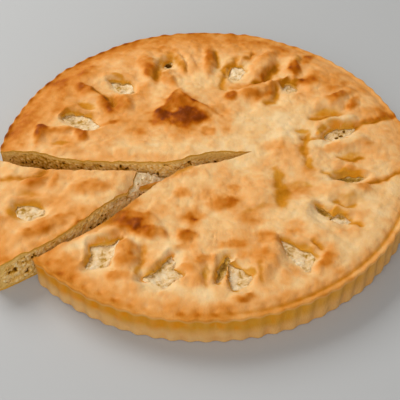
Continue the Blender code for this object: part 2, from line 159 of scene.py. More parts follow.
# Where the top browned more: x, y, length, width, turn in degrees, strength. The narrow patches along the
# vents' far lips and in hollows, such as at (104, 28) and (99, 44), are painted shade.
BROWNED = [
    (-15, 41, 36, 20, 0, 0.45), (-18, 46, 56, 36, 0, 0.16), (-22, 59, 30, 26, 0, 0.30),
    (-37, 42, 14, 20, -30, 0.30), (-15, 24, 26, 16, -5, 0.12), (2, 25, 12, 10, 0, 0.30),
    (16, 38, 32, 11, 85, 0.26), (-40, 24, 18, 8, 10, 0.10), (-75, 60, 30, 22, -10, 0.28),
    (-98, 77, 22, 10, -35, 0.14), (-78, 36, 18, 6, 10, 0.26), (-55, 27, 18, 9, 0, 0.12),
    (-129, 26, 16, 14, -20, 0.16), (-132, 18, 18, 8, 90, 0.20), (-96, 22, 14, 10, -70, 0.30),
    (-119, 64, 18, 8, 85, 0.14), (-50, 112, 26, 12, 100, 0.22), (-44, 98, 22, 11, 110, 0.30),
    (-31, 91, 22, 12, 110, 0.22), (-32, 133, 20, 10, 0, 0.14), (-112, 92, 60, 14, 42, 0.04),
    (4, 116, 34, 9, 88, 0.26), (26, 147, 14, 22, 0, 0.12), (48, 114, 30, 14, 62, 0.16),
    (54, 98, 28, 9, 62, 0.20), (76, 103, 20, 10, 85, 0.46), (87, 118, 22, 9, 50, 0.32),
    (86, 87, 14, 13, 0, 0.30), (94, 92, 20, 9, 80, 0.14), (20, 69, 12, 12, 90, 0.42),
    (36, 71, 26, 9, 0, 0.22), (70, 86, 24, 9, 0, 0.34), (104, 62, 12, 10, 0, 0.24),
    (112, 67, 16, 9, 30, 0.24), (120, 58, 20, 9, 60, 0.28), (114, 82, 18, 8, 30, 0.12),
    (134, 46, 34, 14, 25, 0.24), (55, 8, 24, 14, 0, 0.22), (76, 2, 14, 10, 90, 0.18),
    (78, -17, 10, 8, 90, 0.10), (100, 5, 26, 8, 8, 0.24), (124, 9, 18, 8, 10, 0.16),
    (109, -20, 26, 10, -4, 0.20), (99, 44, 24, 11, 4, 0.16), (95, -65, 12, 6, -30, 0.22),
    (-96, 58, 16, 8, -35, 0.12), (114, -7, 16, 4, -2, 0.12), (104, 28, 26, 4, 3, 0.30),
    (93, 21, 14, 4, 60, 0.20), (56, -49, 18, 10, 90, 0.10), (66, -44, 26, 16, 20, 0.14),
    (118, -40, 10, 14, 0, 0.20), (13, -54, 26, 17, 15, 0.28), (20, -50, 14, 10, 0, 0.14),
    (21, -39, 12, 9, -20, 0.24), (-17, -44, 13, 11, 0, 0.28), (0, -46, 14, 9, 20, 0.18),
    (-14, -20, 20, 13, 20, 0.14), (-30, -62, 16, 10, 0, 0.08), (-10, -67, 22, 12, 20, 0.30),
    (-13, -87, 17, 15, 75, 0.42), (-15, -97, 14, 6, 0, 0.20), (-55, -71, 32, 24, -12, 0.46),
    (-53, -75, 18, 12, -20, 0.10), (-38, -83, 24, 11, -12, 0.34), (33, -70, 18, 14, 0, 0.22),
    (44, -88, 18, 14, 0, 0.21), (62, -78, 18, 13, 0, 0.28), (18, -94, 24, 10, 12, 0.30),
    (25, -103, 9, 9, 0, 0.20), (84, -108, 22, 11, 50, 0.32), (60, -116, 10, 12, 0, 0.20),
    (53, -126, 10, 14, 0, 0.20), (41, -108, 18, 28, 30, 0.12), (-1, -109, 16, 12, 0, 0.28),
    (-10, -124, 24, 18, 90, 0.16), (-58, -101, 34, 18, -75, 0.28), (-62, -122, 20, 9, -10, 0.20),
    (26, -143, 18, 6, 12, 0.30), (-99, -22, 24, 14, 15, 0.20), (-86, -18, 6, 20, 0, 0.16),
    (-56, -27, 36, 15, 8, 0.20), (-64, -53, 14, 12, 0, 0.12), (-84, -66, 40, 13, 33, 0.26),
    (-122, -66, 20, 26, 0, 0.14),
]

# Lines that browned more: strength, half width, and the points that the line runs through
BROWN_LINES = [
    (0.08, 4.5, [(-106, 84), (-96, 79), (-88, 72), (-80, 62), (-76, 53)]),
    (0.16, 1.6, [(-92, 76), (-86, 71), (-81, 66)]),
    (0.10, 5.0, [(-60, 69), (-62, 59), (-68, 52), (-76, 49)]),
    (0.22, 3.0, [(-131, 29), (-114, 29), (-98, 28)]),
    (0.14, 1.8, [(-38, 46), (-30, 60), (-21, 75), (-9, 60)]), (0.18, 2.2, [(-8, 60), (4, 52), (12, 46)]),
    (0.30, 3.5, [(-8, -70), (-10, -80)]), (0.16, 1.8, [(-124, -18), (-103, -17), (-94, -11)]),
    (0.20, 2.2, [(36, 117), (42, 126)]), (0.40, 4.0, [(22, 80), (32, 80), (42, 83)]),
    (0.30, 4.0, [(44, 66), (52, 70), (58, 78)]), (0.24, 3.0, [(44, 88), (52, 96), (60, 108)]),
    (0.06, 3.4, [(80, 20), (78, 10), (76, 0), (78, -14), (79, -19)]),
    (0.06, 3.6, [(55, -34), (55, -48), (55, -58)]), (0.22, 3.0, [(-34, -32), (-20, -18), (-8, -11)]),
    (0.16, 4.0, [(46, -58), (36, -62)]), (0.34, 3.2, [(118, 31), (128, 35), (140, 41), (152, 46)]),
    (0.34, 2.8, [(122, -32), (130, -29), (140, -24), (152, -20)]),
    (0.22, 4.0, [(-110, -99), (-90, -87), (-70, -71), (-52, -53)]),
]

# Folds and slopes that stayed yellowish where the dough lay tucked in, and that are painted darker ochre as
# shade on flanks and in hollows facing away from the window light
YELLOWED_AND_SHADED = [
    (-72, 94, 20, 6, -40, 0.8), (-96, 58.5, 22, 9, -35, 0.9), (-108, 52, 16, 4, 10, 0.8),
    (-113, 14, 16, 5, -4, 0.9), (-39, 104, 26, 5, 98, 0.8), (-23, 112, 20, 5, 125, 0.4),
    (-30, 122, 12, 8, 80, 0.7), (10, 116, 24, 5, 84, 0.8), (15, 90, 26, 6, 85, 0.8),
    (22, 112, 18, 5, 35, 0.8), (57, 99, 32, 8, 62, 0.8), (70, 87, 24, 7, 0, 0.8),
    (57, 66, 24, 7, 62, 0.8), (80, 117, 18, 8, 80, 0.6), (99, 47, 28, 15, 4, 0.85),
    (106, 32, 30, 8, 0, 1.0), (92, 25, 20, 7, 60, 1.0), (84, 16, 18, 4, -8, 0.8),
    (113, -3, 26, 10, -4, 0.65), (108, -22, 28, 10, -2, 1.0), (92, -24, 12, 4, -15, 0.8),
    (106, -51, 30, 12, -4, 0.5), (103, -57, 14, 4, -8, 0.8), (70, -36, 28, 11, 5, 0.6),
    (36, -60, 30, 6, 25, 0.5), (95, -63, 18, 8, -30, 1.0), (108, -73, 10, 5, -40, 0.9),
    (70, -98, 20, 6, -30, 0.8), (79, -96, 9, 5, -40, 0.8), (-45, -108, 28, 6, -85, 0.6),
    (-82, -102, 18, 4, 88, 0.5), (-72, -90, 22, 6, 5, 0.8), (-30, -112, 18, 6, 50, 0.9),
    (0, -123, 22, 5, 84, 0.8), (29, -118, 16, 5, -40, 0.9), (-112, -51, 16, 18, 20, 1.0),
    (-104, -34, 20, 8, 0, 0.6), (-66, -68, 50, 8, 38, 0.5), (14, -1, 46, 6, 8, 0.5),
    (77, 24, 14, 7, 0, 1.0), (80, 15, 20, 7, 80, 1.0), (77, 2, 15, 12, 90, 1.0),
    (80, -13, 18, 8, 105, 1.0), (55, -28, 28, 12, 90, 1.0), (55, -39, 24, 13, 90, 1.0),
    (56, -50, 30, 15, 90, 1.0), (-16, -16, 34, 12, 38, 0.6), (0, 20, 20, 8, 0, 0.2),
]

# Broad parts of the top that stayed paler, or browned more: x, y, length, width, turn in degrees, change
SHADES = [
    (30, 30, 64, 44, 0, 0.07), (-100, 12, 60, 30, 0, 0.07), (78, 82, 34, 30, -30, 0.07),
    (-80, -40, 30, 16, 0, 0.05), (80, -42, 26, 14, 0, 0.06), (20, -62, 30, 20, 0, 0.05),
    (-128, 70, 26, 40, 30, -0.08), (100, -20, 24, 20, 0, -0.06), (-66, -88, 40, 40, 0, -0.05),
    (140, 40, 20, 20, 0, -0.05), (38, 28, 100, 56, 15, -0.22), (15, -6, 90, 26, 10, -0.12),
    (-40, 6, 80, 16, 2, -0.14), (98, 20, 56, 40, 0, -0.15), (101, -20, 30, 12, 0, -0.08),
    (72, -64, 60, 40, 0, -0.14), (-2, -140, 60, 18, 0, -0.14), (128, -50, 36, 90, -8, -0.14),
    (68, 68, 36, 20, 0, -0.06), (-84, -90, 44, 14, 25, -0.14), (-28, -128, 44, 22, 5, -0.16),
    (-22, -105, 20, 20, 0, -0.10), (-112, -40, 40, 18, 0, -0.10), (-62, 38, 70, 44, 0, 0.14),
    (-114, 18, 50, 24, 0, 0.10), (-142, 70, 34, 60, 30, -0.14), (104, 74, 60, 44, -30, 0.11),
    (-24, -100, 30, 26, 0, -0.06), (-14, -22, 60, 24, 0, -0.05), (-90, -40, 46, 16, 0, 0.09),
    (84, -42, 50, 14, 0, 0.04), (-118, 58, 50, 30, 0, 0.10), (-52, 78, 30, 44, 0, 0.10),
    (38, -96, 30, 40, 0, 0.08), (-88, -120, 70, 26, -38, 0.07), (40, 135, 120, 30, -10, 0.18),
    (-120, 70, 120, 44, 55, 0.20), (-20, 120, 120, 60, 10, 0.05), (110, 90, 90, 36, -45, 0.12),
    (108, -98, 70, 30, 42, -0.14), (-90, -34, 110, 60, 20, 0.08), (38, -78, 40, 26, 0, 0.08),
    (107, 37, 34, 10, 4, -0.2), (8, 28, 44, 40, 0, 0.08), (88, 2, 20, 46, 0, -0.12),
    (52, -78, 30, 14, 0, -0.10),
]


def across_oval(x, y, centre_x, centre_y, length, width, turn):
    """How far along and across an oval each point lies, where 1 is the oval's edge."""
    along, across = math.cos(math.radians(turn)), math.sin(math.radians(turn))
    u = ((x - centre_x) * along + (y - centre_y) * across) / (length / 2)
    v = ((y - centre_y) * along - (x - centre_x) * across) / (width / 2)
    return u, v


def oval(x, y, *place):
    """1 in the middle of an oval, fading to nothing just past its edge."""
    u, v = across_oval(x, y, *place)
    return np.exp(-u * u - v * v)


def smooth_step(value, low, high):
    t = np.clip((value - low) / (high - low), 0, 1)
    return t * t * (3 - 2 * t)


def from_stretch(x, y, start, end):
    """The way to each point from the nearest place on a straight stretch."""
    run_x, run_y = end[0] - start[0], end[1] - start[1]
    share = ((x - start[0]) * run_x + (y - start[1]) * run_y) / (run_x ** 2 + run_y ** 2)
    share = np.clip(share, 0, 1)
    return x - start[0] - share * run_x, y - start[1] - share * run_y


def line_through(x, y, points, half_width):
    """1 on the line through the points, fading out to its sides."""
    nearest = np.full_like(x, 1e6)
    for start, end in zip(points, points[1:]):
        nearest = np.minimum(nearest, np.hypot(*from_stretch(x, y, start, end)))
    return np.exp(-(nearest / half_width) ** 2)


def swells(x, y, z, size, seed):
    """Smooth random swells about size across, from -1 to 1."""
    heights = np.random.default_rng(seed).uniform(-1, 1, (32, 32, 32))
    cells, shares = [], []
    for value in (x, y, z):
        scaled = np.asarray(value, float) / size + 500
        cell = np.floor(scaled).astype(int)
        share = scaled - cell
        cells.append(cell)
        shares.append(share * share * (3 - 2 * share))
    total = 0
    for corner in range(8):
        weight = 1
        index = []
        for axis in range(3):
            upper = corner >> axis & 1
            weight = weight * (shares[axis] if upper else 1 - shares[axis])
            index.append((cells[axis] + upper) % 32)
        total = total + weight * heights[tuple(index)]
    return total


def ripples(x, y, size, seed):
    """The same swells where only the place seen from above counts."""
    return swells(x, y, np.zeros_like(x), size, seed)


def wandered(x, y, reach=1.6):
    """The place shifted by a small random amount, so that ovals and lines turn out uneven."""
    shift_x = reach * ripples(x, y, 8, 11) + 0.5 * reach * ripples(x, y, 3.5, 12)
    shift_y = reach * ripples(x, y, 8, 13) + 0.5 * reach * ripples(x, y, 3.5, 14)
    return x + shift_x, y + shift_y


def away_from(outline, x, y):
    """How far outside an outline each point lies, below 0 inside it, and the direction outwards."""
    nearest = np.full_like(x, 1e6)
    out_x, out_y = np.zeros_like(x), np.zeros_like(x)
    inside = np.zeros(x.shape, bool)
    for start, end in zip(outline, np.roll(outline, -1, 0)):
        gap_x, gap_y = from_stretch(x, y, start, end)
        gap = np.hypot(gap_x, gap_y)
        closer = gap < nearest
        nearest = np.where(closer, gap, nearest)
        out_x, out_y = np.where(closer, gap_x, out_x), np.where(closer, gap_y, out_y)
        if start[1] != end[1]:
            crosses = (start[1] > y) != (end[1] > y)
            leans = (end[0] - start[0]) / (end[1] - start[1])
            inside ^= crosses & (x < start[0] + (y - start[1]) * leans)
    side = np.where(inside, -1, 1)
    length = np.maximum(nearest, 1e-6)
    return nearest * side, out_x * side / length, out_y * side / length


def curve_through(points, spacing):
    """Points about spacing apart on a smooth curve through the given ones."""
    known = np.array(points, float)
    padded = np.vstack([2 * known[0] - known[1], known, 2 * known[-1] - known[-2]])
    found = []
    for before, start, end, after in zip(padded, padded[1:], padded[2:], padded[3:]):
        count = max(1, round(np.linalg.norm(end - start) / spacing))
        for t in np.arange(count) / count:
            bend = 2 * start + (end - before) * t
            bend = bend + (2 * before - 5 * start + 4 * end - after) * t * t
            bend = bend + (3 * start - before - 3 * end + after) * t ** 3
            found.append(bend / 2)
    found.append(known[-1])
    return found


def torn_edge(outline):
    """A closed outline, smoothed between its points, with the small bays and points of a tear."""
    closed = np.array(curve_through(outline + outline[:1], 1.0)[:-1])
    x, y = closed.T
    shift_x = ripples(x, y, 4, 51) + 0.3 * ripples(x, y, 1.8, 53)
    shift_y = ripples(x, y, 4, 52) + 0.3 * ripples(x, y, 1.8, 54)
    return np.stack([x + shift_x, y + shift_y], 1)


VENT_EDGES = [torn_edge(vent) for vent in VENTS]
SMOOTH_VENTS = [np.array(curve_through(vent + vent[:1], 2.0)[:-1]) for vent in VENTS]
VENT_REACH = 16


def faces_back(out_x, out_y):
    """1 on the far and left side of an opening, 0 on its near side."""
    return smooth_step(0.85 * out_y - 0.5 * out_x, -0.25, 0.55)


def near_vents(x, y):
    """How far outside the nearest vent each point lies, and 1 where that is on the vent's far side."""
    distance = np.full_like(x, 99.0)
    far_side = np.zeros_like(x)
    for edge in SMOOTH_VENTS:
        (low_x, low_y), (high_x, high_y) = edge.min(0) - VENT_REACH, edge.max(0) + VENT_REACH
        close = (x > low_x) & (x < high_x) & (y > low_y) & (y < high_y)
        if close.any():
            outside, out_x, out_y = away_from(edge, x[close], y[close])
            nearer = outside < distance[close]
            distance[close] = np.where(nearer, outside, distance[close])
            far_side[close] = np.where(nearer, faces_back(out_x, out_y), far_side[close])
    return distance, far_side


def puff(x, y, *place):
    """1 on the flat top of a puffed oval, with a rounded flank down to 0 at its edge."""
    return 1 - smooth_step(np.hypot(*across_oval(x, y, *place)), 0.35, 1.25)


def broad_relief(x, y):
    """The swells of the filling below the dough, which sinks away at the vents."""
    height = -2.0 * (1 - smooth_step(near_vents(x, y)[0], -1, 5))
    for *place, rise in PUFFS:
        height += 0.45 * rise * puff(x, y, *place)
    return height


def dough_relief(x, y):
    """The folds, puffs and creases of the dough's top, never thinner than a torn dough is."""
    uneven_x, uneven_y = wandered(x, y)
    height = np.zeros_like(x)
    for *place, rise in PUFFS:
        height += 1.1 * rise * puff(uneven_x, uneven_y, *place)
    for *place, rise in DIPS:
        height += rise * oval(uneven_x, uneven_y, *place)
    for rise, half_width, points in FOLDS:
        height += rise * line_through(uneven_x, uneven_y, points, half_width)
    outside, far_side = near_vents(x, y)
    height -= 0.6 * (1 - smooth_step(outside, -1, 7))
    outside = outside * np.exp(0.7 * ripples(x, y, 9, 29))
    height += far_side * 1.3 * np.exp(-((outside - 4.4) / 2.3) ** 2)
    height -= far_side * 2.2 * (1 - smooth_step(outside, -0.5, 3.2))
    height -= (1 - far_side) * 3.2 * (1 - smooth_step(outside, 0, 7.5))
    height += 0.35 * np.sin(x / 17 + 1.3 * np.sin(y / 29)) * np.sin(y / 14 - 1.1 * np.sin(x / 23))
    height += 0.7 * ripples(x, y, 12, 21)
    height += 0.6 * ripples(x, y, 6, 22)
    height += 0.40 * ripples(x, y, 3, 23)
    for *place, rise in ROUGH:
        broken = ripples(x, y, 4, 27) + 0.8 * ripples(x, y, 2.2, 28)
        height += rise * oval(x, y, *place) * broken
    wrinkled = smooth_step(ripples(x, y, 26, 24), -0.5, 0.3)
    height -= 0.5 * wrinkled * np.exp(-(ripples(x, y, 11, 25) / 0.10) ** 2)
    height -= 0.3 * wrinkled * np.exp(-(ripples(x, y, 6, 26) / 0.12) ** 2)
    thinnest = broad_relief(x, y) + THINNEST_DOUGH - TOP_DOUGH
    return 0.5 * (height + thinnest + np.hypot(height - thinnest, 0.5))


RELIEF_SPAN = 176
RELIEF_STEP = 1.0


def relief_maps():
    """How far each spot of the top lies below the ones around it, and how steeply it falls away, most of
    all towards the front right, away from the window light, for painted shade.
    """
    across = np.arange(-RELIEF_SPAN, RELIEF_SPAN + 1, RELIEF_STEP)
    x, y = np.meshgrid(across, across)
    height = dough_relief(x.ravel(), y.ravel()).reshape(x.shape)
    reach = np.arange(-9, 10)
    smoothed = []
    for width in (1.5, 4.5):
        weights = np.exp(-(reach / width) ** 2)
        weights /= weights.sum()
        rows = np.apply_along_axis(np.convolve, 0, height, weights, "same")
        smoothed.append(np.apply_along_axis(np.convolve, 1, rows, weights, "same"))
    fine, around = smoothed
    rise_y, rise_x = np.gradient(fine, RELIEF_STEP)
    # Slopes facing the front right, away from the window light, count most: they take painted shade
    slope_shade = 0.35 * np.hypot(rise_x, rise_y) + 0.65 * (0.85 * rise_y - 0.5 * rise_x)
    return around - height, slope_shade


LOWNESS, SLOPE_SHADE = relief_maps()


def read_map(values, x, y):
    column = np.clip((x + RELIEF_SPAN) / RELIEF_STEP, 0, values.shape[1] - 1.001)
    row = np.clip((y + RELIEF_SPAN) / RELIEF_STEP, 0, values.shape[0] - 1.001)
    i, j = row.astype(int), column.astype(int)
    s, t = row - i, column - j
    low = values[i, j] * (1 - t) + values[i, j + 1] * t
    high = values[i + 1, j] * (1 - t) + values[i + 1, j + 1] * t
    return low * (1 - s) + high * s


# How far down the knife pressed the tip of the slice
TIP_PRESSED = 12


def pressed_tip(x, y):
    """How far the knife pressed the slice's tip down: nothing before the torn edge."""
    near_tip = 1 - smooth_step(np.hypot(x, y), 40, 75)
    return -TIP_PRESSED * smooth_step(x - 0.5 * y, -27, -3) * near_tip


# How far the top has fallen at each radius, from its flat part to the foot of the lip
EDGE_FALL = [(138, 0.1), (144, 0.4), (149, 0.9), (153, 1.6), (156, 2.3)]


def top_lift(x, y, pressed):
    """How far the folds and swells lift the dough's top, fading out towards the lip."""
    lift = dough_relief(x, y) * (1 - smooth_step(np.hypot(x, y), 140, 156))
    return lift + pressed_tip(x, y) if pressed else lift


def skin_height(x, y, pressed):
    """The height of the dough's top surface, without its lip."""
    return TOP_HEIGHT - np.interp(np.hypot(x, y), *zip(*EDGE_FALL)) + top_lift(x, y, pressed)


def dough_form(pressed):
    """The rule that turns the plain turned pie into the fluted, folded one."""
    def rule(x, y, z):
        radius = np.hypot(x, y)
        angle = np.arctan2(y, x)
        on_top = smooth_step(z, 18, 24)
        lift = top_lift(x, y, pressed)
        lip = smooth_step(radius, 150, 158) * on_top
        lift = lift + lip * (0.5 * np.sin(3 * angle + 2.2) + 0.35 * np.sin(11 * angle))
        lift = lift + lip * 0.5 * ripples(x, y, 6, 31)
        front = smooth_step(-y, -20, 60)
        between_flutes = 0.5 - 0.5 * np.cos(FLUTES * angle)
        dimple = np.exp(-((radius - 152.5) / 1.7) ** 2) * between_flutes ** 3
        lift = lift - dimple * on_top * (0.4 + 0.9 * front)
        groove = np.exp(-((radius - 155.2) / 1.3) ** 2)
        right_front = smooth_step(np.cos(angle + 0.75), 0.75, 0.98)
        lift = lift - groove * on_top * (0.3 + 0.9 * right_front)
        flute = FLUTE_DEPTH * np.cos(FLUTES * angle)
        flute = flute * smooth_step(radius, 152, 158.5) * (1 - 0.35 * on_top)
        flute = flute + 0.5 * swells(x, y, z, 7, 32) * smooth_step(radius, 154, 159)
        grown = (radius + flute) / np.maximum(radius, 1e-6)
        return x * grown, y * grown, z + lift * on_top
    return rule


def crust_profile():
    """Half of the pie's section, from the top of its axis round the outside to the bottom."""
    points = [(radius, TOP_HEIGHT) for radius in np.arange(0, 137, RING_SPACING)]
    edge = [(radius, TOP_HEIGHT - fall) for radius, fall in EDGE_FALL]
    edge += [(157.5, LIP_HEIGHT - 0.1), (159, LIP_HEIGHT + 0.5)]
    for radius in np.arange(138, 159.2, 1):
        points.append((radius, float(np.interp(radius, *zip(*edge)))))
    for outward, down in ((-0.2, -0.2), (0.2, 0.6), (0.1, 1.6)):
        points.append((PIE_RADIUS + outward, LIP_HEIGHT - down))
    for height in np.arange(LIP_HEIGHT - 3, 1.6, -1.4):
        points.append((PIE_RADIUS - 0.4 * smooth_step(height, 14, 1.4), height))
    for inward, height in ((0.5, 1.2), (0.8, 0.5), (1.6, 0)):
        points.append((PIE_RADIUS - inward, height))
    return points + [(110, 0), (50, 0), (0, 0)]


def hollow_profile():
    """Half of the section of the hollow that the filling sits in."""
    outer = PIE_RADIUS - SIDE_DOUGH
    top = TOP_HEIGHT - TOP_DOUGH
    points = [(radius, top) for radius in np.arange(0, 137, 2 * RING_SPACING)]
    points += [(outer - inward, top - down) for inward, down in ((16, 0.6), (9, 2.2), (4, 5), (1, 8.5))]
    points.append((outer, 0.5 * (top + BOTTOM_DOUGH)))
    points += [(outer - inward, BOTTOM_DOUGH + up) for inward, up in ((1, 5), (3.5, 1.6), (7.5, 0))]
    return points + [(80, BOTTOM_DOUGH), (0, BOTTOM_DOUGH)]


def ring_points(radius, finest):
    """How many points stand round a ring, so that they lie about evenly all over the pie."""
    count = finest
    while count > FLUTES and radius * 2 < PIE_RADIUS * count / finest:
        count //= 2
    return count


def mesh_of(name, points, faces):
    mesh = bpy.data.meshes.new(name)
    mesh.from_pydata(points, [], faces)
    return mesh


def turned(name, profile, finest=FINEST_RING):
    """A closed mesh of the profile turned round Z, with fewer points round its smaller rings."""
    points, rings = [], []
    for radius, height in profile:
        count = ring_points(radius, finest) if radius > 0 else 1
        turn = 2 * np.pi * np.arange(count) / count
        rings.append((len(points), count))
        points.extend(zip(radius * np.cos(turn), radius * np.sin(turn), np.full(count, float(height))))
    faces = []
    for (first, count), (below, count_below) in zip(rings, rings[1:]):
        fewer, more = sorted((count, count_below))
        for i in range(fewer if fewer > 1 else more):
            if count == 1:
                faces.append((first, below + i, below + (i + 1) % count_below))
            elif count_below == 1:
                faces.append((first + i, below, first + (i + 1) % count))
            elif count_below >= count:
                per = count_below // count
                outer = [below + (per * i + k) % count_below for k in range(per + 1)]
                faces.append((first + i, *outer, first + (i + 1) % count))
            else:
                per = count // count_below
                inner = [first + (per * i + k) % count for k in range(per + 1)]
                faces.append((below + i, below + (i + 1) % count_below, *inner[::-1]))
    return mesh_of(name, points, faces)


def points_of(mesh, kind="co"):
    """The places of a mesh's points, or their outward directions where kind is normal."""
    found = np.empty(len(mesh.vertices) * 3)
    mesh.vertices.foreach_get(kind, found)
    return found.reshape(-1, 3)


def move_points(mesh, rule):
    x, y, z = points_of(mesh).T
    mesh.vertices.foreach_set("co", np.stack(rule(x, y, z), 1).ravel())
    mesh.update()


def upright(name, outline, levels):
    """A closed mesh of a flat outline standing up through the levels."""
    outline = np.array(outline, float)
    x, y = outline.T
    if np.sum(x * np.roll(y, -1) - y * np.roll(x, -1)) < 0:
        outline = outline[::-1]
    count = len(outline)
    points = [(x, y, level) for level in levels for x, y in outline]
    faces = [tuple(range(count))[::-1], tuple(count * (len(levels) - 1) + i for i in range(count))]
    for row in range(len(levels) - 1):
        for i in range(count):
            low, low_after = row * count + i, row * count + (i + 1) % count
            faces.append((low, low_after, low_after + count, low + count))
    return mesh_of(name, points, faces)


def roughened(mesh, push):
    """Moves a cutter's points along their outward directions, level, by push(x, y, z)."""
    points, normals = points_of(mesh), points_of(mesh, "normal")
    normals[:, 2] = 0
    amount = push(*points.T)
    mesh.vertices.foreach_set("co", (points + normals * amount[:, None]).ravel())
    mesh.update()
    return mesh


def knife_drag(x, y, z):
    """The slightly dragged surface that a knife leaves in baked dough."""
    return 0.25 * swells(x, y, z * 2, 3, 41) + 0.15 * swells(x, y, z, 1.2, 42)


def placed(name, data):
    made = bpy.data.objects.new(name, data)
    bpy.context.scene.collection.objects.link(made)
    return made


def shown(name, mesh, place, materials):
    """Puts a mesh made in the pie's own millimetres into the scene, in metres at its real place."""
    move_points(mesh, lambda x, y, z: ((x + place[0]) * MM, (y + place[1]) * MM, z * MM))
    for index, material in enumerate(materials):
        if index < len(mesh.materials):
            mesh.materials[index] = material
        else:
            mesh.materials.append(material)
    return placed(name, mesh)


def carved(mesh, steps):
    """The mesh after each (cutter mesh, operation) in turn."""
    block = placed(mesh.name, mesh)
    used = [block]
    for cutter_mesh, operation in steps:
        cutter = placed(cutter_mesh.name, cutter_mesh)
        used.append(cutter)
        boolean = block.modifiers.new("Cut", "BOOLEAN")
        boolean.operation = operation
        boolean.solver = "MANIFOLD"
        boolean.object = cutter
    graph = bpy.context.evaluated_depsgraph_get()
    graph.update()
    made = bpy.data.meshes.new_from_object(block.evaluated_get(graph))
    for each in used:
        bpy.data.objects.remove(each)
    made.name = mesh.name
    return made


def patch(x, y, noise, *place):
    """A browned patch: 1 within, with a soft, uneven edge."""
    return smooth_step(oval(x, y, *place) * (1 + 0.3 * noise), 0.08, 0.75)


def at_front_left(angle):
    """1 round the front left of the rim, which browned a little more."""
    return smooth_step(np.cos(angle + 2.0), 0.1, 0.9)


def browning(x, y):
    """How brown the top is, from 0, pale, to 1, dark, with painted shade added along its creases and the
    far lips of its vents.
    """
    radius = np.hypot(x, y)
    angle = np.arctan2(y, x)
    uneven_x, uneven_y = wandered(x, y, 1.8)
    blotches = 0.6 * ripples(x, y, 5, 65) + 0.5 * ripples(x, y, 2.4, 66)
    brown = np.full_like(x, 0.27)
    for *place, change in SHADES:
        brown += change * puff(x, y, *place)
    brown += 0.11 * ripples(x, y, 13, 61) + 0.06 * ripples(x, y, 6.5, 62)
    brown += 0.06 * ripples(x, y, 3.4, 63)
    brown += np.clip(-0.09 * read_map(LOWNESS, x, y), -0.06, 0.12)
    # Painted shade along the creases
    for rise, half_width, points in FOLDS:
        if rise < 0:
            brown -= 0.12 * rise * line_through(uneven_x, uneven_y, points, 0.9 * half_width)
    outside, far_side = near_vents(x, y)
    brown -= 0.12 * (1 - smooth_step(outside, 1, 9))
    # Painted shade along the far lip of each vent
    brown += 0.14 * far_side * np.exp(-(outside / 1.5) ** 2)
    for *place, strength in BROWNED:
        brown += strength * patch(uneven_x, uneven_y, blotches, *place)
    for strength, half_width, points in BROWN_LINES:
        brown += strength * line_through(uneven_x, uneven_y, points, half_width)
    far_left = smooth_step(np.cos(angle - 2.5), -0.3, 0.9)
    brown += (0.06 + 0.26 * far_left) * smooth_step(radius, 134, 156)
    front = smooth_step(-np.sin(angle), 0.1, 0.8)
    between_flutes = 0.5 - 0.5 * np.cos(FLUTES * angle)
    near_lip = np.exp(-((radius - 151) / 4.5) ** 2)
    brown += front * (0.06 + 0.05 * at_front_left(angle)) * near_lip
    brown += 0.12 * at_front_left(angle) * smooth_step(radius, 152, 158)
    dimples = np.exp(-((radius - 155.3) / 1.9) ** 2) * between_flutes * (1 + ripples(x, y, 8, 64))
    brown += 0.14 * front * dimples
    flute_tip = 1 - between_flutes
    brown += (0.05 + 0.25 * far_left) * flute_tip * smooth_step(radius, 156.5, 160)
    return np.clip(brown, 0.02, 1)


def shelter(x, y):
    """How much ochre each spot takes: the yellowish dough tucked in folds, and painted shade in creases, in
    hollows, on the far flanks of the vents and on slopes facing away from the window light.
    """
    uneven_x, uneven_y = wandered(x, y, 1.8)
    sheltered = np.zeros_like(x)
    for *place, strength in YELLOWED_AND_SHADED:
        sheltered = np.maximum(sheltered, strength * puff(uneven_x, uneven_y, *place))
    # Painted shade along the creases
    for rise, half_width, points in FOLDS:
        if rise < 0:
            crease = line_through(uneven_x, uneven_y, points, 1.5 * half_width)
            sheltered = np.maximum(sheltered, min(1.0, 0.35 - 0.3 * rise) * crease)
    # Painted shade on the far flanks of the vents, which face away from the window light
    outside, far_side = near_vents(x, y)
    band = 1 + 0.6 * ripples(x, y, 7, 55)
    slope = 0.75 * (1 - smooth_step(outside / band, 0, 2.4))
    slope += 0.4 * (1 - smooth_step(outside / band, 1, 6))
    sheltered = np.maximum(sheltered, far_side * np.minimum(slope, 1))
    # Painted shade in hollows, and on slopes that face away from the window light
    sheltered = np.maximum(sheltered, 0.8 * smooth_step(read_map(LOWNESS, x, y), 0.5, 1.6))
    sheltered = np.maximum(sheltered, 0.5 * smooth_step(read_map(SLOPE_SHADE, x, y), 0.4, 1.2))
    uneven = 1 + 0.3 * ripples(x, y, 4, 56) + 0.2 * ripples(x, y, 1.8, 57)
    return 0.95 * smooth_step(sheltered * uneven, 0, 0.94)


def golden(angle, z):
    """1 where the side is golden under the lip, most of all at the front left."""
    x, y = PIE_RADIUS * np.cos(angle), PIE_RADIUS * np.sin(angle)
    front_left = smooth_step(np.cos(angle + 2.1), -0.2, 0.9)
    reach = 13 - 3 * front_left + 2 * ripples(x, y, 9, 71)
    return (0.25 + 0.75 * front_left) * smooth_step(z, reach - 4, reach + 7)


def side_browning(angle, z):
    """The side is browned at its top and pale where it stood in the tin, and painted browner as shade round
    its right front, which faces away from the window light.
    """
    x, y = PIE_RADIUS * np.cos(angle), PIE_RADIUS * np.sin(angle)
    right = smooth_step(np.cos(angle + 0.6), 0, 1)
    return 0.14 + 0.08 * right - 0.1 * golden(angle, z) + 0.07 * swells(x, y, z, 5, 72)


def store(mesh, **stored):
    """Stores one value on each point under each given name, for the materials to read."""
    for name, values in stored.items():
        kept = mesh.attributes.new(name, "FLOAT", "POINT")
        kept.data.foreach_set("value", values.astype(np.float32))


